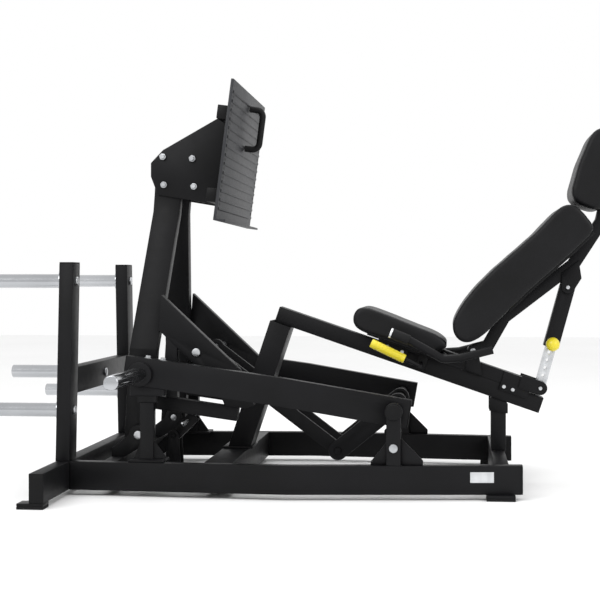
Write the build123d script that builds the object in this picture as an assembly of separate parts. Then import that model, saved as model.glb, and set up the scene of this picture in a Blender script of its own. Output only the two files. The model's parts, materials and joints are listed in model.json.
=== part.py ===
from build123d import *
import math
import os

# Plate-loaded leg press. Sizes in millimetres, +Z up, floor at Z = 0.
# Y = 0 is the mid-plane, and the user faces -X. "left" is the user's left, -Y.
# X below is counted from the back face of the front cross beam; the whole
# machine is moved at the end so that X = 0 is the middle of its length.

# ---- base frame -----------------------------------------------------------
FOOT_T = 10            # rubber foot thickness
FOOT_PLATE_T = 10      # steel foot plate thickness
TUBE_H = 100           # height of the base tubes
TUBE_W = 50            # width of the base tubes
WALL = 3               # tube wall
RAIL_FRONT_Y = 537     # outer face of a side rail at its front end
RAIL_KINK_Y = 585      # outer face at the bend
RAIL_REAR_Y = 500      # outer face at the rear end
RAIL_KINK_X = 777
RAIL_END_X = 1591
FRONT_HALF = 862       # half length of the front cross beam
REAR_BEAM_X = 1523     # centre of the rear cross beam
MID_BEAM_X = 530       # centre of the seat support cross beam
MID_BEAM_W = 100
PIVOT_BEAM_X = 140     # centre of the press arm cross beam
CAP_T = 4              # plastic end cap thickness
GAP = 0.3              # running gap between faces of moving pieces

# ---- weight storage -------------------------------------------------------
POST_TOP = 824
POST_TOP_Y = 485       # outer face of a post at its top
POST_D = 100           # post depth along Y
BRACE_Z = (355, 449)
HORN_D = 50            # every weight horn takes 50 mm plates
STORE_LEN = 320
STORE_HIGH_Z = 760
STORE_LOW_Z = 297
STORE_MID_Z = 405

# ---- weight levers --------------------------------------------------------
LEVER_H = 100
LEVER_W = 50
LEVER_PIVOT = (1149, 305)
LEVER_LINE = [(190, 444.5), (756.5, 365.6), (1199, 290.7)]
LEVER_FRONT_Y = 487    # outer face at the front
LEVER_REAR_Y = 462     # outer face at the rear
SHAFT_D = 40
LOAD_HORN_X = 245
LOAD_HORN_Z = 428
LOAD_HORN_LEN = 450
COLLAR_D = 87
COLLAR_T = 14
PILLAR_W = 50
PILLAR_R = 31
STOP_X = (244, 292)
STOP_TOP = 326
PAD_T = 24             # stop pad thickness

# ---- press arm ------------------------------------------------------------
ARM_PIVOT = (215, 200)
ARM_LINE = [(208, 160), (229, 510), (272, 1092), (276, 1190)]
ARM_FRONT = [(337, 160), (337, 510), (95, 1020), (95, 1190)]
ARM_W = 50
ARM_H = 100
PIN_D = 24
FIT = 0.05             # radial clearance of a pin in its bore
LINK_PIN = (424, 500)
PLATE_TOP = (576, 1484)
PLATE_BOTTOM = (510, 977)
PLATE_HALF = 437
PLATE_T = 11
RIBS = 14
RIB_H = 4

# ---- connecting rods ------------------------------------------------------
CRANK_PIN = (925, 122)
CRANK_PIN_D = 24
ROD_W = 50
ROD_T = 22
ROD_Y = 105            # middle of a rod from the mid-plane
CRANK_T = 22
OPEN_FIT = 7           # radial clearance at the open pivot

# ---- seat rail and carriage -----------------------------------------------
RAIL_START = (688, 632)
RAIL_SLOPE = 18.9
RAIL_LEN = 1050
SEAT_RAIL_H = 60
SEAT_RAIL_W = 90
CAR_H = 48
CAR_FRONT = 395
CAR_GAP = 0.5
CAR_STEP = 618        # where the carriage beam rises from its flat front sled
SLED_T = 14
GUIDE_DROP = 24        # how far the guides reach down the rail's sides
PAD_HALF = 190
BACK_HALF = 200
HEAD_HALF = 130
BACK_HINGE = (1430, 497)
BACK_PIN_D = 20
GRIP_D = 38
HANDLE_D = 30
HANDLE_Y = 275
STRUT_TOP = (1785, 736)
STRUT_LOW = (1681, 357)
SLEEVE_W = 57
INNER_W = 40
STRUT_SPLIT = (1711, 508)
BOLT_D = 14
STRUT_TRAVEL = 90      # how far the sleeve slides down the inner tube
BACK_TUBE_HALF = 30
STRUT_FIT = 4          # radial clearance at the strut's open pivot

FLOOR_Z = FOOT_T + FOOT_PLATE_T
BASE_TOP = FLOOR_Z + TUBE_H
nodes = {}


def box(x0, x1, y0, y1, z0, z1):
    return Pos((x0 + x1) / 2, (y0 + y1) / 2, (z0 + z1) / 2) * Box(x1 - x0, y1 - y0, z1 - z0)


def side(points, y0, y1):
    """Plate with its outline in X-Z, from y0 to y1."""
    face = make_face(Polyline(*[(x, y0, z) for x, z in points], close=True))
    return extrude(face, amount=y1 - y0, dir=(0, 1, 0))


def front(points, x0, x1):
    """Plate with its outline in Y-Z, from x0 to x1."""
    face = make_face(Polyline(*[(x0, y, z) for y, z in points], close=True))
    return extrude(face, amount=x1 - x0, dir=(1, 0, 0))


def plan(points, z0, z1):
    """Plate with its outline in X-Y, from z0 to z1."""
    face = make_face(Polyline(*[(x, y, z0) for x, y in points], close=True))
    return extrude(face, amount=z1 - z0, dir=(0, 0, 1))


def pin(x, z, y0, y1, d):
    """Round bar along Y."""
    return Pos(x, (y0 + y1) / 2, z) * Rot(90, 0, 0) * Cylinder(d / 2, abs(y1 - y0))


def bar(p, q, d):
    """Round bar between two points."""
    a = Vector(*p)
    b = Vector(*q)
    return extrude(Plane(origin=a, z_dir=b - a) * Circle(d / 2), amount=(b - a).length)


def offset_line(line, dist):
    """Open polyline moved sideways by dist, with mitred corners."""
    out = []
    for i, (x, z) in enumerate(line):
        dirs = []
        if i > 0:
            dirs.append((x - line[i - 1][0], z - line[i - 1][1]))
        if i < len(line) - 1:
            dirs.append((line[i + 1][0] - x, line[i + 1][1] - z))
        units = [(u / math.hypot(u, v), v / math.hypot(u, v)) for u, v in dirs]
        nx = sum(-v for u, v in units) / len(units)
        nz = sum(u for u, v in units) / len(units)
        size = nx * nx + nz * nz
        out.append((x + nx * dist / size, z + nz * dist / size))
    return out


def strip(line, width):
    """Closed outline of a band of this width along a line."""
    return offset_line(line, width / 2) + offset_line(line, -width / 2)[::-1]


def capsule(p, q, r, y0, y1):
    """Bar with round ends in the X-Z plane."""
    body = side(strip([p, q], 2 * r), y0, y1)
    return body + pin(*p, y0, y1, 2 * r) + pin(*q, y0, y1, 2 * r)


def both(shape):
    """The shape and its mirror image across the mid-plane, as separate solids."""
    return [shape, mirror(shape, about=Plane.XZ)]


def group(*shapes):
    """One node made of separate solids."""
    solids = []
    waiting = list(shapes)
    while waiting:
        item = waiting.pop(0)
        if isinstance(item, (list, tuple)):
            waiting = list(item) + waiting
        else:
            solids.extend(item.solids())
    return Compound(solids)


def sided(name, shape):
    """A piece and its mirror image, as a left and a right node."""
    nodes[name + "_left"] = shape
    nodes[name + "_right"] = mirror(shape, about=Plane.XZ)


def pair(name, shape):
    """A piece and its mirror image, as two solids of one node."""
    nodes[name] = group(both(shape))


def along(a, b, t):
    return (a[0] + (b[0] - a[0]) * t, a[1] + (b[1] - a[1]) * t)


def rail_y(x):
    """Outer face of a side rail at x."""
    if x < RAIL_KINK_X:
        return RAIL_FRONT_Y + (RAIL_KINK_Y - RAIL_FRONT_Y) * x / RAIL_KINK_X
    t = (x - RAIL_KINK_X) / (RAIL_END_X - RAIL_KINK_X)
    return RAIL_KINK_Y + (RAIL_REAR_Y - RAIL_KINK_Y) * t


# =========================================================================
# Base frame. Shapes are modelled on the -Y side, where y is negative.
# =========================================================================
RAIL_XS = (0, RAIL_KINK_X, RAIL_END_X)


def rail_plan(inset):
    outer = [(x, -rail_y(x) + inset) for x in RAIL_XS]
    inner = [(x, -rail_y(x) + TUBE_W - inset) for x in RAIL_XS]
    return outer + inner[::-1]


rail_solid = plan(rail_plan(0), FLOOR_Z, BASE_TOP)
rail_hollow = plan(rail_plan(WALL), FLOOR_Z + WALL, BASE_TOP - WALL)
sided("side_rail", rail_solid - rail_hollow)
nodes["front_cross_beam"] = (box(-TUBE_W, 0, -FRONT_HALF, FRONT_HALF, FLOOR_Z, BASE_TOP)
                             - box(WALL - TUBE_W, -WALL, -FRONT_HALF, FRONT_HALF,
                                   FLOOR_Z + WALL, BASE_TOP - WALL))


def cross_beam(x, width):
    """Tube between the two side rails."""
    reach = RAIL_KINK_Y
    tube = (box(x - width / 2, x + width / 2, -reach, reach, FLOOR_Z, BASE_TOP)
            - box(x - width / 2 + WALL, x + width / 2 - WALL, -reach, reach,
                  FLOOR_Z + WALL, BASE_TOP - WALL))
    keep = plan([(0, -RAIL_FRONT_Y + TUBE_W), (RAIL_KINK_X, -RAIL_KINK_Y + TUBE_W),
                 (RAIL_END_X, -RAIL_REAR_Y + TUBE_W), (RAIL_END_X, RAIL_REAR_Y - TUBE_W),
                 (RAIL_KINK_X, RAIL_KINK_Y - TUBE_W), (0, RAIL_FRONT_Y - TUBE_W)], 0, 2 * BASE_TOP)
    return tube & keep


nodes["cross_beams"] = group(cross_beam(PIVOT_BEAM_X, TUBE_W), cross_beam(MID_BEAM_X, MID_BEAM_W),
                             cross_beam(REAR_BEAM_X, TUBE_W))

FOOT_LONG = 92
front_foot = (-FOOT_LONG, 0, -FRONT_HALF - 6, -FRONT_HALF + 64)
rear_foot_y = rail_y(REAR_BEAM_X)
rear_foot = (REAR_BEAM_X - 54, REAR_BEAM_X + 46, -rear_foot_y - 26, -rear_foot_y + TUBE_W)
nodes["foot_plates"] = group([both(box(*f, FOOT_T, FLOOR_Z)) for f in (front_foot, rear_foot)])
nodes["rubber_feet"] = group(both(box(*front_foot, 0, FOOT_T)), both(box(*rear_foot, 0, FOOT_T)))

# Storage posts lean inward, with a brace between them.
POST_X0 = -TUBE_W


def post_outline(inset):
    return [(-RAIL_FRONT_Y + inset, BASE_TOP), (-POST_TOP_Y + inset, POST_TOP),
            (-POST_TOP_Y + POST_D - inset, POST_TOP), (-RAIL_FRONT_Y + POST_D - inset, BASE_TOP)]


def post_face(z):
    """Outer face of a storage post at z."""
    return RAIL_FRONT_Y + (POST_TOP_Y - RAIL_FRONT_Y) * (z - BASE_TOP) / (POST_TOP - BASE_TOP)


post_solid = front(post_outline(0), POST_X0, 0)
storage_post = post_solid - front(post_outline(WALL), POST_X0 + WALL, -WALL)
brace = (box(POST_X0, 0, -RAIL_FRONT_Y, RAIL_FRONT_Y, *BRACE_Z)
         - box(POST_X0 + WALL, -WALL, -RAIL_FRONT_Y, RAIL_FRONT_Y, BRACE_Z[0] + WALL, BRACE_Z[1] - WALL))
inner_low = RAIL_FRONT_Y - POST_D
inner_top = POST_TOP_Y - POST_D
post_brace = brace & front([(-inner_low, BASE_TOP), (-inner_top, POST_TOP),
                                     (inner_top, POST_TOP), (inner_low, BASE_TOP)], POST_X0, 0)
nodes["storage_frame"] = group(both(storage_post), post_brace)


def store_horn(y, z):
    """Storage horn on the front face, with its base flange."""
    flange = bar((POST_X0, y, z), (POST_X0 - 8, y, z), HORN_D + 24)
    stem = bar((POST_X0, y, z), (POST_X0 - STORE_LEN, y, z), HORN_D)
    tip = stem.faces().sort_by(Axis.X)[0]
    return flange + chamfer(tip.edges(), 3)


def store_cap(y, z):
    """Bolt head of a storage horn on the back face."""
    return bar((0, y, z), (8, y, z), 32)


horn_spots = []
for horn_z in (STORE_HIGH_Z, STORE_LOW_Z):
    horn_y = post_face(horn_z) - POST_D / 2
    horn_spots.append((-horn_y, horn_z))
    horn_spots.append((horn_y, horn_z))
horn_spots.append((0, STORE_MID_Z))
nodes["storage_horns"] = group([store_horn(y, z) for y, z in horn_spots])
store_caps = [store_cap(y, z) for y, z in horn_spots]

caps = both(box(-TUBE_W, 0, -FRONT_HALF - CAP_T, -FRONT_HALF, FLOOR_Z, BASE_TOP))
caps += both(box(POST_X0, 0, -POST_TOP_Y, -POST_TOP_Y + POST_D, POST_TOP, POST_TOP + CAP_T))
caps += both(box(RAIL_END_X, RAIL_END_X + CAP_T, -RAIL_REAR_Y, -RAIL_REAR_Y + TUBE_W, FLOOR_Z, BASE_TOP))

# Blank badge plate on the left rail, near its rear end.
BADGE_X = (1413, 1495)
badge = plan([(BADGE_X[0], -rail_y(BADGE_X[0]) - 2), (BADGE_X[1], -rail_y(BADGE_X[1]) - 2),
              (BADGE_X[1], -rail_y(BADGE_X[1])), (BADGE_X[0], -rail_y(BADGE_X[0]))], 62, 99)
nodes["badge_plate"] = badge

# =========================================================================
# Seat rail, on an inclined support in front and an upright behind.
# =========================================================================
CA = math.cos(math.radians(RAIL_SLOPE))
SA = math.sin(math.radians(RAIL_SLOPE))


def on_rail(s, n):
    """Point at distance s down the seat rail and n above its middle line."""
    return (RAIL_START[0] + s * CA + n * SA, RAIL_START[1] - s * SA + n * CA)


def rail_block(s0, s1, n0, n1, y0, y1):
    return side([on_rail(s0, n0), on_rail(s1, n0), on_rail(s1, n1), on_rail(s0, n1)], y0, y1)


HR = SEAT_RAIL_H / 2
WR = SEAT_RAIL_W / 2
seat_rail_solid = rail_block(0, RAIL_LEN, -HR, HR, -WR, WR)
rail_bore = rail_block(-1, RAIL_LEN + 1, -HR + WALL, HR - WALL, -WR + WALL, WR - WALL)
nodes["seat_rail"] = seat_rail_solid - rail_bore
caps += [rail_block(s, s + CAP_T, -HR, HR, -WR, WR) for s in (-CAP_T, RAIL_LEN)]
nodes["tube_end_caps"] = group(caps)
SUPPORT_TOP = on_rail(22, 0)
SUPPORT_LOW = (MID_BEAM_X, 90)
support = side(strip([SUPPORT_LOW, SUPPORT_TOP], 82), -75, 75)
support_bore = side(strip([SUPPORT_LOW, SUPPORT_TOP], 82 - 2 * WALL), -75 + WALL, 75 - WALL)
under_rail = rail_block(-200, RAIL_LEN, -900, -HR, -200, 200)
above_base = box(0, RAIL_END_X, -300, 300, BASE_TOP + 8, 2000)
seat_support = (support - support_bore) & under_rail & above_base
foot_x = along(SUPPORT_LOW, SUPPORT_TOP, 0.07)[0]
support_foot = box(MID_BEAM_X - 50, foot_x + 52, -85, 85, BASE_TOP, BASE_TOP + 8)
nodes["seat_support"] = group(seat_support, support_foot)
upright = (box(REAR_BEAM_X - 25, REAR_BEAM_X + 31, -40, 40, BASE_TOP, 600)
           - box(REAR_BEAM_X - 25 + WALL, REAR_BEAM_X + 31 - WALL, -40 + WALL, 40 - WALL, 0, 600))
rear_upright = upright & under_rail
top_z = on_rail((REAR_BEAM_X - RAIL_START[0]) / CA, -HR)[1]
rear_upright = group(rear_upright, both(side(
    [(REAR_BEAM_X - 32, top_z - 48), (REAR_BEAM_X + 38, top_z - 58),
     (REAR_BEAM_X + 38, top_z - 20), (REAR_BEAM_X - 32, top_z + 2)], -46, -40)))
nodes["rear_upright"] = rear_upright

# =========================================================================
# Fixed pillars for the lever shaft, stop posts and press arm pedestals.
# =========================================================================
PX, PZ = LEVER_PIVOT
pil_out = rail_y(PX) - 1
pil_in = pil_out - TUBE_W + 4
pillar = box(PX - PILLAR_W / 2, PX + PILLAR_W / 2, -pil_out, -pil_in, BASE_TOP, PZ)
pillar = pillar + pin(PX, PZ, -pil_out, -pil_in, 2 * PILLAR_R)
pillar = pillar - pin(PX, PZ, -pil_out - 1, -pil_in + 1, SHAFT_D + 2 * FIT)
rear_web = side([(PX + PILLAR_W / 2, BASE_TOP), (PX + 102, BASE_TOP), (PX + 102, BASE_TOP + 18),
                 (PX + PILLAR_W / 2, BASE_TOP + 95)], -pil_out + 20, -pil_in - 18)
front_web = side([(PX - PILLAR_W / 2, BASE_TOP), (PX - 80, BASE_TOP), (PX - 80, BASE_TOP + 12),
                  (PX - PILLAR_W / 2, BASE_TOP + 80)], -pil_out + 20, -pil_in - 18)
nodes["pivot_pillars"] = group(both(pillar), both(rear_web), both(front_web))
nodes["pillar_caps"] = group(both(pin(PX, PZ, -pil_out - 8, -pil_out, 2 * PILLAR_R - 8)))
nodes["frame_bolts"] = group(store_caps, both(pin(PX, BASE_TOP + 61, -pil_out - 9, -pil_out, 30)))

SX0, SX1 = STOP_X
stop_y0 = -LEVER_FRONT_Y + 5
stop_y1 = stop_y0 + 42
stop_base = box(SX0 - 29, SX1 + 48, -rail_y(SX0) + 8, stop_y1 + 8, BASE_TOP, BASE_TOP + 8)
stop_post = box(SX0, SX1, stop_y0, stop_y1, BASE_TOP + 8, STOP_TOP)
stop_ribs = side([(SX0 - 25, BASE_TOP + 8), (SX1 + 44, BASE_TOP + 8), (SX1, BASE_TOP + 70),
                  (SX0, BASE_TOP + 70)], stop_y0 + 16, stop_y1 - 16)
pair("stop_posts", stop_base + stop_post + stop_ribs)

AX, AZ = ARM_PIVOT
arm_y = -ARM_FRONT[0][0]
ear_out = arm_y - ARM_W / 2 - 3
ear_in = arm_y + ARM_W / 2 + 3
EAR_T = 12
ear = side([(PIVOT_BEAM_X - 25, BASE_TOP), (PIVOT_BEAM_X + 25, BASE_TOP), (AX + 35, AZ - 30),
            (AX + 35, AZ), (AX - 35, AZ), (PIVOT_BEAM_X - 25, BASE_TOP + 30)], 0, EAR_T)
ear = ear + pin(AX, AZ, 0, EAR_T, 70)
ear = ear - pin(AX, AZ, -1, EAR_T + 1, PIN_D + 2 * FIT)
pair("arm_pedestals", group(Pos(0, ear_out - EAR_T, 0) * ear, Pos(0, ear_in, 0) * ear))

# Lock lever bracket, on a low bar between two cross beams.
LOCK_Y = -225
LOCK_PIVOT = (320, 184)
lock_base = box(PIVOT_BEAM_X + TUBE_W / 2, MID_BEAM_X - MID_BEAM_W / 2,
                             LOCK_Y - 40, LOCK_Y + 40, FLOOR_Z, FLOOR_Z + 25)
lock_ear = side([(LOCK_PIVOT[0] - 30, FLOOR_Z + 25), (LOCK_PIVOT[0] + 30, FLOOR_Z + 25),
                 (LOCK_PIVOT[0] + 22, LOCK_PIVOT[1]), (LOCK_PIVOT[0] - 22, LOCK_PIVOT[1])], 0, 8)
lock_ear = lock_ear + pin(*LOCK_PIVOT, 0, 8, 44)
lock_ear = lock_ear - pin(*LOCK_PIVOT, -1, 9, 16 + 2 * FIT)
nodes["lock_mount"] = group(lock_base, Pos(0, LOCK_Y - 36, 0) * lock_ear, Pos(0, LOCK_Y + 28, 0) * lock_ear)

# =========================================================================
# Weight levers: bent tubes on a cross shaft, with load horns and cranks.
# =========================================================================
LEV_XS = (LEVER_LINE[0][0] - 30, LEVER_LINE[1][0], LEVER_LINE[2][0] + 30)
LEV_YS = (LEVER_FRONT_Y, LEVER_FRONT_Y - 6, LEVER_REAR_Y)


def lever_plan(inset):
    outer = [(x, -y + inset) for x, y in zip(LEV_XS, LEV_YS)]
    inner = [(x, -y + LEVER_W - inset) for x, y in zip(LEV_XS, LEV_YS)]
    return outer + inner[::-1]


lever_full = side(strip(LEVER_LINE, LEVER_H), -600, -300) & plan(lever_plan(0), 0, 700)
lever_bore = (side(strip(LEVER_LINE, LEVER_H - 2 * WALL), -600, -300)
              & plan(lever_plan(WALL), 0, 700))
shaft_hole = pin(PX, PZ, -600, -300, SHAFT_D)
sided("lever", lever_full - lever_bore - shaft_hole)
lever_shaft = pin(PX, PZ, -pil_out, pil_out, SHAFT_D)
end_a = LEVER_LINE[0]
cap_in = offset_line(LEVER_LINE, -LEVER_H / 2)[0]
cap_out = offset_line(LEVER_LINE, LEVER_H / 2)[0]
lever_cap = side([cap_in, cap_out, (cap_out[0] - CAP_T, cap_out[1]), (cap_in[0] - CAP_T, cap_in[1])],
                 -LEVER_FRONT_Y + 1, -LEVER_FRONT_Y + LEVER_W - 1)
low_in = offset_line(LEVER_LINE, -LEVER_H / 2)[-1]
low_out = offset_line(LEVER_LINE, LEVER_H / 2)[-1]
lever_cap_rear = side([low_in, low_out, (low_out[0] + CAP_T, low_out[1]), (low_in[0] + CAP_T, low_in[1])],
                      -LEVER_REAR_Y, -LEVER_REAR_Y + LEVER_W)
nodes["lever_end_caps"] = group(both(lever_cap), both(lever_cap_rear))

horn_y0 = -LEVER_FRONT_Y
load_stem = pin(LOAD_HORN_X, LOAD_HORN_Z, horn_y0 - LOAD_HORN_LEN, horn_y0 - COLLAR_T, HORN_D)
load_stem = chamfer(load_stem.faces().sort_by(Axis.Y)[0].edges(), 3)
pair("load_horns", load_stem)
horn_collar = pin(LOAD_HORN_X, LOAD_HORN_Z, horn_y0 - COLLAR_T, horn_y0, COLLAR_D)
block = box(SX0 - 37, SX1 + 40, stop_y0 + 1, stop_y1 - 1, STOP_TOP + PAD_T + GAP, 500)
under_lever = side([(0, 0), (900, 0)] + offset_line(LEVER_LINE, -LEVER_H / 2)[1::-1]
                   + [(0, offset_line(LEVER_LINE, -LEVER_H / 2)[0][1] + 20)], -600, -300)
nodes["lever_fittings"] = group(both(horn_collar), both(block & under_lever))
nodes["stop_pads"] = group(both(box(SX0 - 10, SX1 + 10, stop_y0 + 3, stop_y1 - 3,
                                    STOP_TOP + GAP, STOP_TOP + PAD_T + GAP)))

crank_y1 = -(ROD_Y + ROD_T / 2 + 4)
crank_y0 = crank_y1 - CRANK_T
crank = capsule(LEVER_PIVOT, CRANK_PIN, 35, crank_y0, crank_y1)
crank = crank - pin(PX, PZ, crank_y0 - 1, crank_y1 + 1, SHAFT_D)
crank = crank - pin(*CRANK_PIN, crank_y0 - 1, crank_y1 + 1, CRANK_PIN_D)
crank_pin = pin(*CRANK_PIN, crank_y0 - 5, -(ROD_Y - ROD_T / 2 - 3), CRANK_PIN_D)
crank_head = pin(*CRANK_PIN, -(ROD_Y - ROD_T / 2 - 3), -(ROD_Y - ROD_T / 2 - 9), 48)
nodes["crank_shaft"] = group(lever_shaft, both(crank), both(crank_pin + crank_head))

# =========================================================================
# Connecting rods, from the press arm to the cranks.
# =========================================================================
rod_y0 = -(ROD_Y + ROD_T / 2)
rod_y1 = -(ROD_Y - ROD_T / 2)
rod = capsule(LINK_PIN, CRANK_PIN, ROD_W / 2, rod_y0, rod_y1)
rod = rod + pin(*LINK_PIN, rod_y0, rod_y1, 60)
rod = rod + pin(*CRANK_PIN, rod_y0, rod_y1, 70)
rod = rod - pin(*LINK_PIN, rod_y0 - 1, rod_y1 + 1, PIN_D + 2 * FIT)
rod = rod - pin(*CRANK_PIN, rod_y0 - 1, rod_y1 + 1, CRANK_PIN_D + 2 * OPEN_FIT)
pair("connecting_rods", rod)

# =========================================================================
# Press arm: two leaning tubes, braces, head plates and the foot plate.
# =========================================================================


def front_line(width):
    return [(-y, z) for y, z in strip(ARM_FRONT, width)]


arm_full = side(strip(ARM_LINE, ARM_H), -500, 0) & front(front_line(ARM_W), 0, 700)
arm_bore = side(strip(ARM_LINE, ARM_H - 2 * WALL), -500, 0) & front(front_line(ARM_W - 2 * WALL), 0, 700)
arm_boss = pin(AX, AZ, arm_y - ARM_W / 2, arm_y + ARM_W / 2, PIN_D + 20)
arm_pin_hole = pin(AX, AZ, -500, 0, PIN_D)
sided("arm", arm_full - arm_bore + (arm_boss & arm_full) - arm_pin_hole)
arm_pin = pin(AX, AZ, ear_out - EAR_T - 2, ear_in + EAR_T + 2, PIN_D)
arm_pin = arm_pin + pin(AX, AZ, ear_out - EAR_T - 10, ear_out - EAR_T - 2, PIN_D + 6)

BR = -300
arm_right_half = side(offset_line(ARM_LINE, -ARM_H / 2) + [(1200, 1190), (1200, 160)], -500, 0)
base_tube = side(strip([(215, 325), (575, 275)], 50), BR - 50, BR)
nodes["arm_base_tubes"] = group(both(base_tube & arm_right_half))
brace_top = (213, 716)
brace_mid = (540, 409)
brace_end = (590, 290)
BRACE_H = 100
front_in = [(-y, z) for y, z in offset_line(ARM_FRONT, -ARM_W / 2)]
brace_line = strip([brace_top, brace_mid, brace_end], BRACE_H)
brace_tube = side(brace_line, BR - 50, BR)
base_cut = side(strip([(100, 325 + 16), (800, 275 - 31)], 50), BR - 60, BR + 10)
low_cut = side([(0, 0), (900, 0), (900, 230), (0, 355)], BR - 60, BR + 10)
brace_piece = (brace_tube & arm_right_half) - base_cut - low_cut
brace_piece = brace_piece.solids().sort_by(SortBy.VOLUME)[-1]
link_hole = pin(*LINK_PIN, -500, 0, PIN_D)
web = side([(312, 200), (352, 200), (352, 900), (312, 900)], BR - 50, BR)
web = (web & arm_right_half) - base_cut - low_cut - side(brace_line, BR - 60, BR + 10)
web = web.solids().sort_by(Axis.Z)[0]
nodes["arm_braces"] = group(both(brace_piece - link_hole), both(web))
link_end = -BR + 52
link_shaft = pin(*LINK_PIN, -link_end, link_end, PIN_D)
link_heads = both(pin(*LINK_PIN, -link_end - 7, -link_end, PIN_D + 6))
nodes["link_shaft"] = link_shaft + link_heads[0] + link_heads[1]

# Head plates stand outside the arm tops and carry the foot plate frame.
HEAD_Y = ARM_FRONT[-1][0] + ARM_W / 2
UP = (PLATE_TOP[0] - PLATE_BOTTOM[0], PLATE_TOP[1] - PLATE_BOTTOM[1])
UP_LEN = math.hypot(*UP)
UX, UZ = UP[0] / UP_LEN, UP[1] / UP_LEN


def on_plate(v, w):
    """Point v up the foot plate from its lower edge and w out of its face."""
    return (PLATE_BOTTOM[0] + v * UX + w * UZ, PLATE_BOTTOM[1] + v * UZ - w * UX)


BACK_W = 46
back_top = on_plate(UP_LEN - 92, -PLATE_T - BACK_W)
back_low = on_plate(66, -PLATE_T - BACK_W)
head = side([(209, 1210), (209, 1158), (236, 1088), back_low, back_top, (256, 1259)], -HEAD_Y - 10, -HEAD_Y)
pair("head_plates", head)
head_bolts = [both(pin(x, z, -HEAD_Y - 18, -HEAD_Y - 10, 24)) for x, z in
              ((256, 1233), (370, 1225), (260, 1126), (376, 1119))]
nodes["arm_bolts"] = group(head_bolts, both(arm_pin))
head_ties = [box(x, x + 10, -HEAD_Y, HEAD_Y, 1120, 1240) for x in (335, 440)]


def back_bar(v0, v1, half):
    return side([on_plate(v0, -PLATE_T - BACK_W), on_plate(v1, -PLATE_T - BACK_W),
                 on_plate(v1, -PLATE_T), on_plate(v0, -PLATE_T)], -half, half)


nodes["plate_frame"] = group(back_bar(66, 116, PLATE_HALF - 60), back_bar(UP_LEN - 142, UP_LEN - 92, PLATE_HALF - 60),
                             back_bar(116, UP_LEN - 142, 25), head_ties)
face = side([on_plate(0, -PLATE_T), on_plate(UP_LEN, -PLATE_T), on_plate(UP_LEN, 0), on_plate(0, 0)],
            -PLATE_HALF, PLATE_HALF)
lip = side([on_plate(0, 0), on_plate(0, 34), on_plate(8, 34), on_plate(8, 0)], -PLATE_HALF, PLATE_HALF)
nodes["foot_plate"] = face + lip
pitch = (UP_LEN - 90) / (RIBS - 1)


def rib(v):
    outline = [on_plate(v - 7, 0), on_plate(v + 7, 0), on_plate(v + 4, RIB_H), on_plate(v - 4, RIB_H)]
    return side(outline, -PLATE_HALF + 14, PLATE_HALF - 14)


nodes["plate_ribs"] = group([rib(45 + i * pitch) for i in range(RIBS)])
hv0 = UP_LEN * 0.585
hv1 = UP_LEN * 0.885
grip_pts = [on_plate(hv0, RIB_H), on_plate(hv0, 58), on_plate(hv1, 58), on_plate(hv1, RIB_H)]
wire = FilletPolyline(*[(x, 0, z) for x, z in grip_pts], radius=26)
nodes["plate_handle"] = sweep(Plane(origin=wire @ 0, z_dir=wire % 0) * Circle(12), path=wire)

# =========================================================================
# Lock lever: an inclined channel with a round bar and a thin handle.
# =========================================================================
lk0, lk1 = (216, 80), (400, 260)
lock = side(strip([lk0, lk1], 42), LOCK_Y - 25, LOCK_Y + 25)
lock = lock - side(strip([along(lk0, lk1, -0.1), along(lk0, lk1, 1.1)], 42), LOCK_Y - 21, LOCK_Y + 21)
floor_strip = offset_line([lk0, lk1], -21) + offset_line([lk0, lk1], -17)[::-1]
lock = lock + side(floor_strip, LOCK_Y - 25, LOCK_Y + 25)
lock = lock - pin(*LOCK_PIVOT, LOCK_Y - 60, LOCK_Y + 60, 16)
lock_pin = pin(*LOCK_PIVOT, LOCK_Y - 40, LOCK_Y + 40, 16)
nodes["lock_lever"] = group(lock, lock_pin)
bar_a = offset_line([lk0, lk1], 8)[0]
bar_b = offset_line([lk0, lk1], 8)[1]
lock_bar = bar((bar_a[0] + 8, LOCK_Y, bar_a[1] + 8), (*[bar_b[0]], LOCK_Y, bar_b[1]), 22)
lock_bar = lock_bar - pin(*LOCK_PIVOT, LOCK_Y - 60, LOCK_Y + 60, 17)
hy = LOCK_Y - 25 - 3.5
hx, hz = along(lk0, lk1, 0.78)
rod_path = FilletPolyline((hx, hy, hz), (hx + 22, hy - 34, hz + 26), (hx + 22, hy - 150, hz + 26), radius=12)
lock_handle = sweep(Plane(origin=rod_path @ 0, z_dir=rod_path % 0) * Circle(3.5), path=rod_path)
nodes["lock_rods"] = group(lock_bar, lock_handle)

# =========================================================================
# Seat carriage, sliding on the seat rail.
# =========================================================================
CN0 = HR + CAR_GAP
CN1 = CN0 + CAR_H
CAR_END = RAIL_LEN - 56
SLED_N = CN0 + SLED_T
guide_in = WR + CAR_GAP
beam = (rail_block(CAR_STEP, CAR_END, CN0, CN1, -guide_in, guide_in)
        - rail_block(CAR_STEP + 6, CAR_END - 6, CN0 + WALL, CN1 - WALL, -guide_in + WALL, guide_in - WALL))
CROSS_PIVOT = (1319, 476)
cross_hole = pin(*CROSS_PIVOT, -guide_in - 1, guide_in + 1, HANDLE_D)
sled = rail_block(CAR_FRONT, CAR_STEP, CN0, SLED_N, -guide_in, guide_in)
nodes["carriage_beam"] = beam - cross_hole + sled
guides = both(rail_block(CAR_FRONT + 20, CAR_FRONT + 120, HR - GUIDE_DROP, SLED_N, -guide_in - 8, -guide_in))
guides += both(rail_block(CAR_END - 110, CAR_END, HR - GUIDE_DROP, CN1, -guide_in - 8, -guide_in))
guide_bolts = []
for s in (CAR_FRONT + 40, CAR_FRONT + 100, CAR_END - 95, CAR_END - 60):
    bx, bz = on_rail(s, HR - GUIDE_DROP / 2 + 4)
    guide_bolts += both(pin(bx, bz, -guide_in - 13, -guide_in - 8, 14))

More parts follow.
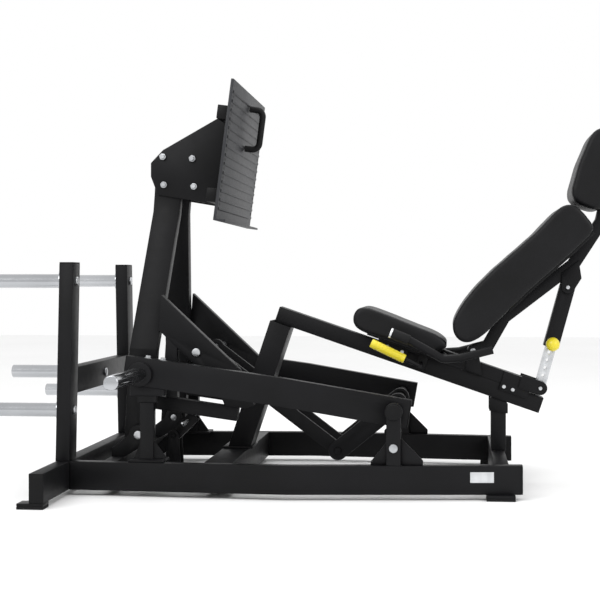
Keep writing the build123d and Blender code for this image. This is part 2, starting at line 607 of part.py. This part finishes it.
# Rear block with a clevis that holds the strut's lower bolt.
LX, LZ = STRUT_LOW
LS = (LX - RAIL_START[0]) * CA - (LZ - RAIL_START[1]) * SA
LN = (LX - RAIL_START[0]) * SA + (LZ - RAIL_START[1]) * CA
cheek = rail_block(CAR_END - 44, LS, LN - 26, LN + 26, 0, 8) + pin(LX, LZ, 0, 8, 52)
cheek = cheek - pin(LX, LZ, -1, 9, BOLT_D)
nodes["carriage_guides"] = group(guides, both(Pos(0, -guide_in - 16, 0) * cheek))
strut_half = guide_in + 8
low_bolt = pin(LX, LZ, -strut_half - 18, strut_half + 18, BOLT_D)

# Seat board on two brackets, and the seat pad.
BOARD_T = 8
PAD_N = SLED_N + BOARD_T + 0.2
PAD_S0 = CAR_FRONT - 105
PAD_LEN = 367
PAD_TOP = 86
nodes["seat_board"] = rail_block(PAD_S0 + 62, CAR_STEP - 12, SLED_N, SLED_N + BOARD_T, -PAD_HALF + 14, PAD_HALF - 14)
rear_lift = CN1 + 8 - PAD_N
pad_out = [(30, 0), (6, 8), (-8, 30), (-6, PAD_TOP - 20), (8, PAD_TOP - 3), (42, PAD_TOP),
           (PAD_LEN - 60, PAD_TOP - 12), (PAD_LEN - 8, PAD_TOP - 26), (PAD_LEN, PAD_TOP - 38),
           (PAD_LEN - 8, rear_lift), (CAR_STEP - PAD_S0 - 8, rear_lift), (CAR_STEP - PAD_S0 - 8, 0)]
nodes["seat_pad"] = side([on_rail(PAD_S0 + s, PAD_N + n) for s, n in pad_out], -PAD_HALF, PAD_HALF)

# Side handles on a cross tube through the carriage.
HY = -HANDLE_Y
cross_tube = pin(*CROSS_PIVOT, HY + HANDLE_D / 2 - 3, -(HY + HANDLE_D / 2 - 3), HANDLE_D)
h_path = [(1140, 566), (1200, 542), (1319, 476), (1380, 480), (1498, 511)]
h_wire = FilletPolyline(*[(x, HY, z) for x, z in h_path], radius=24)
handle = sweep(Plane(origin=h_wire @ 0, z_dir=h_wire % 0) * Circle(HANDLE_D / 2), path=h_wire)
handle = handle - pin(*CROSS_PIVOT, HY + HANDLE_D / 2 - 3, 0, HANDLE_D)
nodes["seat_handles"] = group(both(handle), cross_tube)
g0 = (1134, HY, 568.4)
g1 = (1196, HY, 543.6)
grip = bar(g0, g1, GRIP_D) - bar((1100, HY, 582), (1240, HY, 526), HANDLE_D)
grip = grip - handle
cap_end = (1126, HY, 571.6)
nodes["handle_grips"] = group(both(grip.solids().sort_by(SortBy.VOLUME)[-1]))
grip_cap = bar(g0, cap_end, GRIP_D) - handle
nodes["grip_end_caps"] = group(both(grip_cap.solids().sort_by(SortBy.VOLUME)[-1]))

# Release lever under the left handle.
REL = (1235, 447)
REL_Y = -250
rel_path = bar((REL[0], REL_Y, REL[1]), (1180, REL_Y, 473.6), 14)
rel_shaft = pin(*REL, REL_Y - 7, -guide_in - 12, 14)
nodes["release_lever"] = rel_path + rel_shaft
nodes["release_grip"] = bar((1179, REL_Y, 474), (1056, REL_Y, 533), 33) - rel_path
rel_s = (REL[0] - RAIL_START[0]) * CA - (REL[1] - RAIL_START[1]) * SA
rel_mount = rail_block(rel_s - 18, rel_s + 18, -HR + 8, SLED_N, -guide_in - 10, -guide_in)

# =========================================================================
# Backrest, hinged on the carriage.
# =========================================================================
BX, BZ = BACK_HINGE
ear_y = 52
hinge_ear = side([on_rail((BX - RAIL_START[0]) / CA - 42, CN0 + 4), on_rail((BX - RAIL_START[0]) / CA + 26, CN0 + 4),
                  (BX + 20, BZ), (BX - 20, BZ)], -ear_y - 8, -guide_in) + pin(BX, BZ, -ear_y - 8, -guide_in, 40)
hinge_ear = hinge_ear - pin(BX, BZ, -100, 0, BACK_PIN_D)
nodes["carriage_ears"] = group(both(hinge_ear), rel_mount)
hinge_pin = pin(BX, BZ, -ear_y - 14, ear_y + 14, BACK_PIN_D)
nodes["carriage_bolts"] = group(guide_bolts, low_bolt, hinge_pin)
BACK_IN = guide_in - 2
BACK_TUBE_H = 46
back_line = [(BX, BZ), (1486, 512), (1548, 622), (1807, 822), (1912, 985), (1930, 1060)]
back_outer = side(strip(back_line, BACK_TUBE_H), -BACK_TUBE_HALF, BACK_TUBE_HALF) + pin(BX, BZ, -BACK_IN, BACK_IN, 42)
back_outer = back_outer - pin(BX, BZ, -100, 100, BACK_PIN_D + 2 * FIT)
TX, TZ = STRUT_TOP
lug = side([(1762, 790), (1826, 836), (1836, 770), (TX + 22, TZ - 12), (TX - 8, TZ - 24), (TX - 24, TZ + 6)], 0, 8)
lug = lug + pin(TX, TZ, 0, 8, 46) - pin(TX, TZ, -1, 9, BOLT_D)
LUG_Y = BACK_TUBE_HALF
lug_pair = both(Pos(0, -LUG_Y - 8, 0) * lug)
stem = bar((1930, 0, 1040), (1930, 0, 1110), 22)
back_outer = back_outer + stem
nodes["back_frame"] = group(back_outer, [lug_side - back_outer for lug_side in lug_pair])
nodes["strut_top_bolt"] = pin(TX, TZ, -LUG_Y - 16, LUG_Y + 16, BOLT_D)
front_line_pts = [(1396, 530), (1362, 556), (1352, 596), (1376, 650), (1428, 722), (1500, 796), (1580, 866),
                  (1660, 936), (1712, 992), (1748, 1030), (1784, 1046), (1812, 1026)]
pad_rear = [(1872, 952), (1780, 862), (1632, 730), (1540, 640), (1480, 578), (1444, 546)]
tube_clear = side(strip(back_line, BACK_TUBE_H + 2), -BACK_TUBE_HALF - 1, BACK_TUBE_HALF + 1)
BACK_BOARD_T = 12
board_line = [(1862, 942), (1780, 862), (1632, 730), (1556, 656)]
board_out = offset_line(board_line, -0.3)
board_in = offset_line(board_line, 0.3 + BACK_BOARD_T)
if board_in[0][1] > board_line[0][1]:
    board_in = offset_line(board_line, -0.3 - BACK_BOARD_T)
else:
    board_out = offset_line(board_line, 0.3)
back_pad = side(front_line_pts + pad_rear, -BACK_HALF, BACK_HALF) - tube_clear
nodes["back_pad"] = back_pad.solids().sort_by(SortBy.VOLUME)[-1]
back_board = side(board_out + board_in[::-1], -BACK_HALF + 18, BACK_HALF - 18)
nodes["back_board"] = group(back_board - tube_clear - back_pad)
head_pts = [(1804, 1054), (1792, 1086), (1822, 1196), (1866, 1300), (1890, 1330), (1925, 1322), (1990, 1292),
            (2002, 1262), (1940, 1090), (1912, 1034), (1892, 1022)]
head_pad = side(head_pts, -HEAD_HALF, HEAD_HALF)
nodes["headrest_pad"] = head_pad - bar((1930, 0, 1040), (1930, 0, 1111), 23) - tube_clear

# =========================================================================
# Adjusting strut between the carriage and the backrest.
# =========================================================================
dx, dz = TX - LX, TZ - LZ
strut_len = math.hypot(dx, dz)
ux, uz = dx / strut_len, dz / strut_len


def on_strut(t):
    return (LX + ux * t, LZ + uz * t)


SLEEVE_S = (158, strut_len)
INNER_END = strut_len - 34 - STRUT_TRAVEL
INNER_GAP = 0.4
sleeve = side(strip([on_strut(SLEEVE_S[0]), on_strut(strut_len)], SLEEVE_W), -SLEEVE_W / 2, SLEEVE_W / 2)
sleeve = sleeve + pin(TX, TZ, -SLEEVE_W / 2, SLEEVE_W / 2, SLEEVE_W)
hollow = INNER_W + 2 * INNER_GAP
sleeve = sleeve - side(strip([on_strut(0), on_strut(strut_len - 26)], hollow), -hollow / 2, hollow / 2)
sleeve = sleeve - pin(TX, TZ, -100, 100, BOLT_D + 2 * STRUT_FIT)
inner = side(strip([on_strut(0), on_strut(INNER_END)], INNER_W), -INNER_W / 2, INNER_W / 2)
inner = inner + pin(LX, LZ, -INNER_W / 2, INNER_W / 2, INNER_W)
for k in range(4):
    ix, iz = on_strut(48 + 30 * k)
    inner = inner - pin(ix, iz, -100, 100, 12)
inner = inner - pin(LX, LZ, -100, 100, BOLT_D + 2 * FIT)
nodes["strut_inner"] = inner
kx, kz = on_strut(SLEEVE_S[0] + 14)
KNOB_D = 52
boss = pin(kx, kz, -SLEEVE_W / 2 - 10, -SLEEVE_W / 2, 26)
nodes["strut_sleeve"] = sleeve + boss
nodes["pop_pin_knob"] = (pin(kx, kz, -SLEEVE_W / 2 - 22, -SLEEVE_W / 2 - 10 - GAP, 14)
                         + Pos(kx, -SLEEVE_W / 2 - 22 - KNOB_D / 2 + 4, kz) * Sphere(KNOB_D / 2))

# =========================================================================
# Centre the machine along X and write one file per node.
# =========================================================================
low_x = min(s.bounding_box().min.X for s in nodes.values())
high_x = max(s.bounding_box().max.X for s in nodes.values())
SHIFT = -(low_x + high_x) / 2

if __name__ == "__main__":
    os.makedirs("parts", exist_ok=True)
    for node_name, shape in nodes.items():
        export_step(Pos(SHIFT, 0, 0) * shape, "parts/" + node_name + ".step")
    print("nodes", len(nodes), "shift", round(SHIFT, 3))
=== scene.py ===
import json
import math

import bmesh
import bpy
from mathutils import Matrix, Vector


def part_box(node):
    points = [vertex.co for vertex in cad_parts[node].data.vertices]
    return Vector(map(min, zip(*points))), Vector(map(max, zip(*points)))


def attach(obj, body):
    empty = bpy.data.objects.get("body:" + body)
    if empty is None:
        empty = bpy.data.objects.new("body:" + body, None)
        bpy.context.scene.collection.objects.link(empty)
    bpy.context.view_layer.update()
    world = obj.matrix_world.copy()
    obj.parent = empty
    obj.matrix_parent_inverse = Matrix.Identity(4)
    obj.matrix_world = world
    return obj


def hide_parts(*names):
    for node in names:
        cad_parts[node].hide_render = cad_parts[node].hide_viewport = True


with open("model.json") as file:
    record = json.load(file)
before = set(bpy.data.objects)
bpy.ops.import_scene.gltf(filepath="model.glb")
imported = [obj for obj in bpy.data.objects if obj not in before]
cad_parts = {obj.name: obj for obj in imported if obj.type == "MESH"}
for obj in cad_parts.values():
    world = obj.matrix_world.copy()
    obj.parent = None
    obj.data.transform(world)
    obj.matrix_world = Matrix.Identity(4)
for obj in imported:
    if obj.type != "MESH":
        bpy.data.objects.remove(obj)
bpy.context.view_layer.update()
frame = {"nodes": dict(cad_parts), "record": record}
NODES = frame["nodes"]
SLOT_OF = {part["node"]: part["material_slot"] for part in frame["record"]["subparts"]}
BODY_OF = {node: body for body, nodes in frame["record"]["behaviour"]["bodies"].items() for node in nodes}

# Places on the machine are in millimetres from where the side rails start; at()
# turns them into metres in the model's frame.
SHIFT_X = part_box("side_rail_left")[0][0] * 1000
SIDES = {-1: "l", 1: "r"}


def at(x, y, z):
    return Vector(((x + SHIFT_X) / 1000, y / 1000, z / 1000))


# ---- materials ------------------------------------------------------------
def linear(hex_colour):
    """Linear RGBA of an sRGB hex colour."""
    out = []
    for i in (0, 2, 4):
        v = int(hex_colour[i:i + 2], 16) / 255
        out.append(((v + 0.055) / 1.055) ** 2.4 if v > 0.04045 else v / 12.92)
    return (*out, 1.0)


def material(name, dark, light, rough, metallic=0.0, scale=60.0, grain=0.12, grain_scale=900.0,
             stretch=(1, 1, 1), bump_size=0.0004, coat=0.0, cells=False, specular=0.5):
    """A procedural finish: slow colour change, varied roughness and a fine raised grain."""
    mat = bpy.data.materials.new(name)
    mat.use_nodes = True
    tree = mat.node_tree
    bsdf = tree.nodes["Principled BSDF"]
    bsdf.inputs["Metallic"].default_value = metallic
    bsdf.inputs["Specular IOR Level"].default_value = specular
    bsdf.inputs["Coat Weight"].default_value = coat
    bsdf.inputs["Coat Roughness"].default_value = 0.2
    coord = tree.nodes.new("ShaderNodeTexCoord")
    mapping = tree.nodes.new("ShaderNodeMapping")
    mapping.inputs["Scale"].default_value = stretch
    tree.links.new(coord.outputs["Object"], mapping.inputs["Vector"])

    def noise(size, detail):
        node = tree.nodes.new("ShaderNodeTexNoise")
        node.inputs["Scale"].default_value = size
        node.inputs["Detail"].default_value = detail
        tree.links.new(mapping.outputs["Vector"], node.inputs["Vector"])
        return node

    slow = noise(scale / 10, 3)
    ramp = tree.nodes.new("ShaderNodeValToRGB")
    ramp.color_ramp.elements[0].position = 0.3
    ramp.color_ramp.elements[1].position = 0.7
    ramp.color_ramp.elements[0].color = linear(dark)
    ramp.color_ramp.elements[1].color = linear(light)
    tree.links.new(slow.outputs["Fac"], ramp.inputs["Fac"])
    tree.links.new(ramp.outputs["Color"], bsdf.inputs["Base Color"])
    mid = noise(scale, 4)
    span = tree.nodes.new("ShaderNodeMapRange")
    span.inputs["To Min"].default_value = rough - 0.06
    span.inputs["To Max"].default_value = rough + 0.08
    tree.links.new(mid.outputs["Fac"], span.inputs["Value"])
    tree.links.new(span.outputs["Result"], bsdf.inputs["Roughness"])
    if cells:
        fine = tree.nodes.new("ShaderNodeTexVoronoi")
        fine.inputs["Scale"].default_value = grain_scale
        tree.links.new(mapping.outputs["Vector"], fine.inputs["Vector"])
        height = fine.outputs["Distance"]
    else:
        height = noise(grain_scale, 2).outputs["Fac"]
    bump = tree.nodes.new("ShaderNodeBump")
    bump.inputs["Strength"].default_value = grain
    bump.inputs["Distance"].default_value = bump_size
    tree.links.new(height, bump.inputs["Height"])
    tree.links.new(bump.outputs["Normal"], bsdf.inputs["Normal"])
    return mat


MATS = {
    "frame_black": material("frame_black", "0e0e0f", "141416", 0.42, scale=40, grain=0.2, specular=0.14),
    "plate_grey": material("plate_grey", "26272a", "303134", 0.5, metallic=0.25, scale=50, grain=0.3,
                           specular=0.3),
    "chrome": material("chrome", "a6a8ab", "bfc1c4", 0.16, metallic=1.0, scale=30, grain=0.05),
    "zinc_bolt": material("zinc_bolt", "a9abae", "c6c8ca", 0.3, metallic=1.0, scale=120, grain=0.1),
    "silver_tube": material("silver_tube", "b9bbbe", "cfd1d3", 0.28, metallic=0.9, scale=60, grain=0.1,
                            stretch=(1, 1, 6)),
    "pad_leather": material("pad_leather", "0c0c0d", "131315", 0.42, scale=60, grain=0.35,
                            grain_scale=420, bump_size=0.0006, cells=True, specular=0.18),
    "board_black": material("board_black", "0f0f10", "161617", 0.6, scale=80, grain=0.3, specular=0.15),
    "rubber_black": material("rubber_black", "0f0f10", "181819", 0.78, scale=90, grain=0.4, specular=0.2),
    "cap_plastic": material("cap_plastic", "0b0b0c", "111112", 0.5, scale=70, grain=0.3, specular=0.15),
    "grip_black": material("grip_black", "111112", "1a1a1b", 0.66, scale=80, grain=0.5, cells=True,
                           grain_scale=500, specular=0.2),
    "cap_silver": material("cap_silver", "d5d7d9", "e6e7e8", 0.3, metallic=0.6, scale=60),
    "yellow_plastic": material("yellow_plastic", "d6c41c", "e0d030", 0.34, scale=40, grain=0.15, coat=0.2),
    "badge_silver": material("badge_silver", "c6c8ca", "dcdddf", 0.3, metallic=0.8, scale=60,
                             stretch=(8, 1, 1)),
    # hole_dark is a flat near-black that paints the shade inside the foot plate's holes
    "hole_dark": material("hole_dark", "050505", "0b0b0b", 0.8, scale=60),
}
for node_name, obj in NODES.items():
    for slot in obj.material_slots:
        slot.material = MATS[SLOT_OF[node_name]]


def piece(name, bm, body, key, smooth=True):
    """A mesh object that rides body, with material key."""
    mesh = bpy.data.meshes.new(name)
    bm.to_mesh(mesh)
    bm.free()
    obj = bpy.data.objects.new(name, mesh)
    bpy.context.scene.collection.objects.link(obj)
    for poly in mesh.polygons:
        poly.use_smooth = smooth
    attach(obj, body)
    mesh.materials.append(MATS[key])
    return obj


# ---- softened edges on the steel work -------------------------------------
SOFT_PADS = ("seat_pad", "back_pad", "headrest_pad")
KEEP_CAD = ("plate_handle", "pop_pin_knob", "lock_rods")
EDGE = {"chrome": 0.0012, "zinc_bolt": 0.001, "rubber_black": 0.002, "grip_black": 0.0012}
STEEL_EDGE = 0.0022
WELD_DISTANCE = 1e-6
FLAT_ANGLE = math.radians(0.6)
BEVEL_ANGLE = math.radians(32)
SHADE_ANGLE = math.radians(30)
for node_name, obj in NODES.items():
    if node_name in SOFT_PADS or node_name in KEEP_CAD:
        continue
    bm = bmesh.new()
    bm.from_mesh(obj.data)
    bmesh.ops.remove_doubles(bm, verts=bm.verts, dist=WELD_DISTANCE)
    bmesh.ops.dissolve_limit(bm, angle_limit=FLAT_ANGLE, verts=bm.verts, edges=bm.edges)
    sharp = [e for e in bm.edges if len(e.link_faces) == 2 and e.calc_face_angle(0) > BEVEL_ANGLE]
    width = EDGE.get(SLOT_OF[node_name], STEEL_EDGE)
    bmesh.ops.bevel(bm, geom=sharp, offset=width, offset_type="OFFSET", segments=2, profile=0.5,
                    affect="EDGES", clamp_overlap=True)
    bmesh.ops.triangulate(bm, faces=[f for f in bm.faces if len(f.verts) > 4])
    for edge in bm.edges:
        edge.smooth = len(edge.link_faces) != 2 or edge.calc_face_angle(0) < SHADE_ANGLE
    made = piece("look_" + node_name, bm, BODY_OF[node_name], SLOT_OF[node_name])
    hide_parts(node_name)


# ---- pads -----------------------------------------------------------------
OUTLINE_STEP = 12       # mm between points of a resampled outline
CORNER_PASSES = 6       # rounds of averaging that soften its corners
SIDE_INSET = 5          # mm that each side starts inside the pad, before it swells
VOXEL = 0.006           # m, size of the remeshed faces
SOFT_PASSES = 9
CROWN = 0.004           # m that the whole pad is pushed out
SEAM_DEPTH = 0.0022     # m that the seam is drawn in
SEAM_WIDTH = 3.5        # mm
PUCKER_DEPTH = 0.0006   # m that the cover waves around the seam
PUCKER_WIDTH = 12       # mm
PUCKER_X, PUCKER_Z = 61, 47    # radians per metre


def resample(points):
    """Closed outline as even short steps, with its corners softened."""
    pts = [Vector(p) for p in points]
    dense = []
    for i, start in enumerate(pts):
        end = pts[(i + 1) % len(pts)]
        steps = max(1, round((end - start).length / OUTLINE_STEP))
        dense += [start.lerp(end, k / steps) for k in range(steps)]
    for _ in range(CORNER_PASSES):
        count = len(dense)
        dense = [(dense[i - 1] + dense[i] * 2 + dense[(i + 1) % count]) / 4 for i in range(count)]
    return dense


def swept(outline, half):
    """The outline swept across Y, as a closed mesh."""
    loop = resample(outline)
    bm = bmesh.new()
    rings = [[bm.verts.new(at(p.x, y, p.y)) for p in loop] for y in (SIDE_INSET - half, half - SIDE_INSET)]
    count = len(loop)
    for i in range(count):
        bm.faces.new((rings[0][i], rings[0][(i + 1) % count], rings[1][(i + 1) % count], rings[1][i]))
    bm.faces.new(rings[0][::-1])
    bm.faces.new(rings[1])
    bmesh.ops.recalc_face_normals(bm, faces=bm.faces)
    return bm


def apply_modifiers(obj):
    """Makes the modified mesh the object's own, with no modifier left."""
    bpy.context.view_layer.update()
    made = bpy.data.meshes.new_from_object(obj.evaluated_get(bpy.context.evaluated_depsgraph_get()))
    obj.modifiers.clear()
    old = obj.data
    obj.data = made
    bpy.data.meshes.remove(old)


def sew(mesh, seam_y):
    """A seam near each side, seam_y mm from the middle: the cover is drawn in and waves a little."""
    for vert in mesh.vertices:
        off = abs(vert.co.y) * 1000 - seam_y
        pull = SEAM_DEPTH * math.exp(-(off / SEAM_WIDTH) ** 2)
        wave = PUCKER_DEPTH * math.sin(vert.co.x * PUCKER_X + vert.co.z * PUCKER_Z)
        wave *= math.exp(-(off / PUCKER_WIDTH) ** 2)
        vert.co -= vert.normal * (pull + wave)


def stuffed(name, outline, half, body, node, seam):
    """A stuffed pad: the swept outline, remeshed, smoothed, pushed out a little and sewn."""
    obj = piece(name, swept(outline, half), body, "pad_leather")
    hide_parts(node)
    remesh = obj.modifiers.new("remesh", "REMESH")
    remesh.mode = "VOXEL"
    remesh.voxel_size = VOXEL
    soft = obj.modifiers.new("soft", "SMOOTH")
    soft.factor = 0.5
    soft.iterations = SOFT_PASSES
    crown = obj.modifiers.new("crown", "DISPLACE")
    crown.strength = CROWN
    crown.mid_level = 0.0
    apply_modifiers(obj)
    sew(obj.data, half - seam)
    for poly in obj.data.polygons:
        poly.use_smooth = True


# The seat pad's outline is (along, above) the seat rail, from the pad's own corner.
RAIL_ANGLE = math.radians(18.9)
RAIL_START_X, RAIL_START_Z = 688, 632
SEAT_S, SEAT_N = 290, 52.7


def on_rail(s, n):
    """Machine (x, z) of a place s mm down the seat rail and n mm above its line."""
    return (RAIL_START_X + s * math.cos(RAIL_ANGLE) + n * math.sin(RAIL_ANGLE),
            RAIL_START_Z - s * math.sin(RAIL_ANGLE) + n * math.cos(RAIL_ANGLE))


SEAT = [(30, 0), (6, 8), (-8, 30), (-6, 66), (8, 83), (42, 86), (307, 74), (359, 60), (367, 48),
        (359, 34), (320, 34), (320, 0)]
BACK = [(1396, 530), (1362, 556), (1352, 596), (1376, 650), (1428, 722), (1500, 796), (1580, 866),
        (1660, 936), (1712, 992), (1748, 1030), (1784, 1046), (1812, 1026), (1872, 952), (1780, 862),
        (1632, 730), (1540, 640), (1480, 578), (1444, 546)]
HEAD = [(1804, 1054), (1792, 1086), (1822, 1196), (1866, 1300), (1890, 1330), (1925, 1322), (1990, 1292),
        (2002, 1262), (1940, 1090), (1912, 1034), (1892, 1022)]
SEAT_OUTLINE = [on_rail(SEAT_S + s, SEAT_N + n) for s, n in SEAT]
stuffed("seat_cushion", SEAT_OUTLINE, 190, "carriage", "seat_pad", 20)
stuffed("back_cushion", BACK, 200, "backrest", "back_pad", 22)
stuffed("head_cushion", HEAD, 130, "backrest", "headrest_pad", 20)


# ---- small fittings -------------------------------------------------------
ROUND_ANGLE = math.radians(38)


def turned(name, centre, axis, profile, body, key, sides=24):
    """Solid of revolution: profile is (distance along axis, radius) in mm."""
    axis = Vector(axis).normalized()
    side = axis.orthogonal().normalized()
    other = axis.cross(side)
    bm = bmesh.new()
    rings = []
    for step, radius in profile:
        ring = []
        for k in range(sides):
            a = 2 * math.pi * k / sides
            ring.append(bm.verts.new(centre + axis * (step / 1000)
                                     + (side * math.cos(a) + other * math.sin(a)) * radius / 1000))
        rings.append(ring)
    for first, second in zip(rings, rings[1:]):
        for k in range(sides):
            j = (k + 1) % sides
            bm.faces.new((first[k], first[j], second[j], second[k]))
    bm.faces.new(rings[0][::-1])
    bm.faces.new(rings[-1])
    bmesh.ops.recalc_face_normals(bm, faces=bm.faces)
    for edge in bm.edges:
        edge.smooth = edge.calc_face_angle(0) < ROUND_ANGLE
    piece(name, bm, body, key)


# Hexagon bolt heads on the head plates and on top of the weight levers.
HEX = [(0, 13), (2, 13), (2.2, 9.6), (8, 9.6), (9.5, 8.2)]
HEAD_PLATE_Y, HEAD_BOLTS = 137, ((256, 1233), (370, 1225), (260, 1126), (376, 1119))
LEVER_Y, LEVER_BOLTS_X = 460, (268, 322)
LEVER_START_X, LEVER_START_Z, LEVER_SLOPE = 197, 494, 0.1393
LEVER_NORMAL = (0.138, 0, 0.99)
for index, (x, z) in enumerate(HEAD_BOLTS):
    for sign, letter in SIDES.items():
        turned("head_hex_%d_%s" % (index, letter), at(x, sign * HEAD_PLATE_Y, z), (0, sign, 0), HEX,
               "press_arm", "zinc_bolt", sides=6)
for index, x in enumerate(LEVER_BOLTS_X):
    z = LEVER_START_Z - (x - LEVER_START_X) * LEVER_SLOPE
    for sign, letter in SIDES.items():
        turned("lever_top_bolt_%d_%s" % (index, letter), at(x, sign * LEVER_Y, z), LEVER_NORMAL, HEX,
               "weight_levers", "zinc_bolt", sides=6)

# Columns of round holes near the foot plate's sides, as dark discs just off its face: the discs are
# painted shade that stands in for the shade inside the holes.
PLATE_TOP, PLATE_LOW = Vector((576, 1484)), Vector((510, 977))
PLATE_UP = (PLATE_TOP - PLATE_LOW).normalized()
PLATE_OUT = Vector((PLATE_UP.y, -PLATE_UP.x))
HOLE_COLUMNS = (-415, -396, 396, 415)
HOLE_ROWS, HOLE_MARGIN, HOLE_RADIUS, HOLE_SIDES, HOLE_OFF = 13, 45, 5, 12, 0.4
HOLE_PITCH = ((PLATE_TOP - PLATE_LOW).length - 2 * HOLE_MARGIN) / HOLE_ROWS
hole_shade_bm = bmesh.new()
for row in range(HOLE_ROWS):
    up = HOLE_MARGIN + (row + 0.5) * HOLE_PITCH
    spot = PLATE_LOW + PLATE_UP * up + PLATE_OUT * HOLE_OFF
    for y in HOLE_COLUMNS:
        ring = []
        for k in range(HOLE_SIDES):
            a = 2 * math.pi * k / HOLE_SIDES
            q = spot + PLATE_UP * (HOLE_RADIUS * math.sin(a))
            ring.append(hole_shade_bm.verts.new(at(q.x, y + HOLE_RADIUS * math.cos(a), q.y)))
        hole_shade_bm.faces.new(ring)
# The hole discs are painted shade, not open holes.
piece("foot_plate_holes", hole_shade_bm, "press_arm", "hole_dark", smooth=False)

# Raised rings along the yellow release grip.
GRIP_Y, GRIP_FRONT, GRIP_BACK = -250, Vector((1056, 533)), Vector((1179, 474))
GRIP_AXIS = (-0.902, 0, 0.432)
RING_COUNT, RING_SPACES = 9, 10.5
RING = [(-1.6, 16.6), (-0.8, 17.4), (0.8, 17.4), (1.6, 16.6)]
for index in range(RING_COUNT):
    spot = GRIP_BACK + (GRIP_FRONT - GRIP_BACK) * ((index + 1) / RING_SPACES)
    turned("release_ring_%d" % index, at(spot.x, GRIP_Y, spot.y), GRIP_AXIS, RING,
           "release", "yellow_plastic")

# ---- stage, light and camera ----------------------------------------------
FLOOR_REACH = 14
floor_bm = bmesh.new()
corners = [(-1, -1), (1, -1), (1, 1), (-1, 1)]
floor_bm.faces.new([floor_bm.verts.new((x * FLOOR_REACH, y * FLOOR_REACH, 0)) for x, y in corners])
floor_mesh = bpy.data.meshes.new("floor")
floor_bm.to_mesh(floor_mesh)
floor_bm.free()
floor_pale = material("floor_pale", "f4f4f4", "f8f8f8", 0.9, scale=4, grain=0.02, specular=0.1)
floor_mesh.materials.append(floor_pale)
floor = bpy.data.objects.new("floor", floor_mesh)
bpy.context.scene.collection.objects.link(floor)

world = bpy.data.worlds.new("studio")
bpy.context.scene.world = world
world.use_nodes = True
world.node_tree.nodes["Background"].inputs["Color"].default_value = (1, 1, 1, 1)
world.node_tree.nodes["Background"].inputs["Strength"].default_value = 1.0


def area(name, place, target, size, power):
    """A square lamp at place, aimed at target."""
    lamp = bpy.data.lights.new(name, "AREA")
    lamp.size = size
    lamp.energy = power
    obj = bpy.data.objects.new(name, lamp)
    bpy.context.scene.collection.objects.link(obj)
    obj.location = place
    obj.rotation_euler = (Vector(target) - Vector(place)).to_track_quat("-Z", "Y").to_euler()


area("key", (-1.8, -3.6, 3.4), (0, 0, 0.6), 2.4, 70)
area("side", (3.4, -2.4, 2.4), (0, 0, 0.7), 2.0, 40)
area("top", (0, 0.6, 4.2), (0, 0, 0), 3.0, 50)
bpy.context.scene.view_settings.view_transform = "Standard"

CAMERA_PLACE = (1344.1, -5550.5, 763.75)
CAMERA_TURN = math.radians(5.93)
camera_data = bpy.data.cameras.new("camera")
camera_data.lens = 86.7
camera_data.sensor_width = 36
camera_data.shift_y = -1 / 30
camera_data.clip_end = 60
camera = bpy.data.objects.new("camera", camera_data)
bpy.context.scene.collection.objects.link(camera)
camera.location = at(*CAMERA_PLACE)
camera.rotation_euler = (math.radians(90), 0, CAMERA_TURN)
bpy.context.scene.camera = camera
